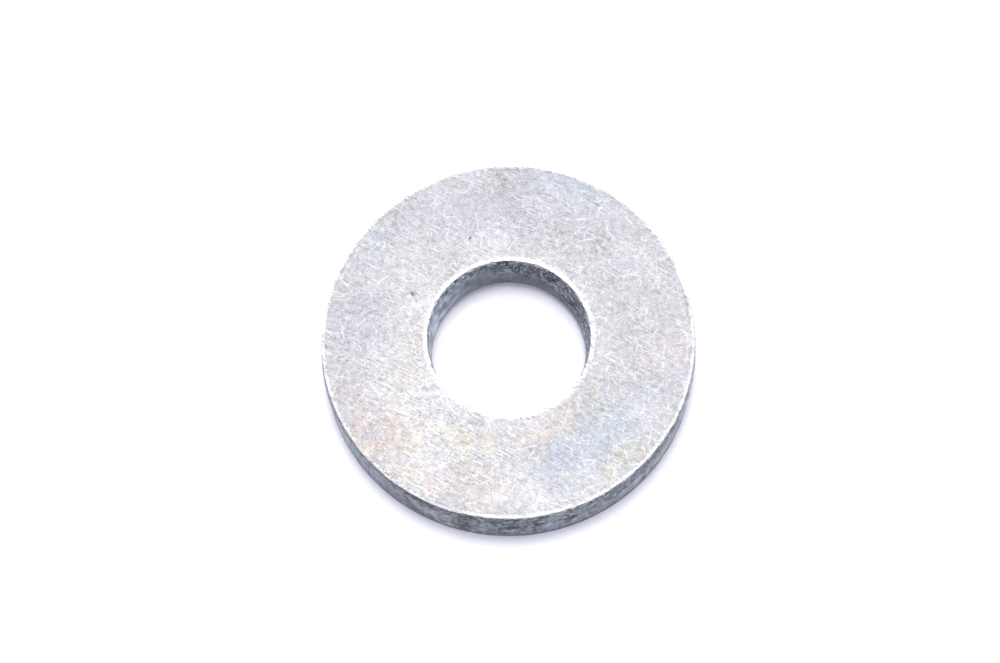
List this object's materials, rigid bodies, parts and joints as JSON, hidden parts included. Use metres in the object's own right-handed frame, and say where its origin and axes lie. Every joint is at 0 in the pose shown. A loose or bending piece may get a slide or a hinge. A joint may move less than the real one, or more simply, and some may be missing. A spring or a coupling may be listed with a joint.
{
  "type": "flat washer",
  "caption": "Thick plain flat washer: a round stamped steel ring that spreads a bolt head's or a nut's load over the part under it.",
  "frame": {"origin": "centre of the hole on the lower face, the face that the washer lies on", "axes": "+Z along the hole's axis from the lower face to the upper face; X and Y lie in the lower face"},
  "size_m": [0.036, 0.036, 0.006],
  "materials": {
    "zinc_plated_steel": "clear zinc plating over brushed steel, satin, with fine handling scratches and dull sheared edges"
  },
  "bodies": {
    "root": {"flat_washer": "zinc_plated_steel"}
  },
  "joints": []
}
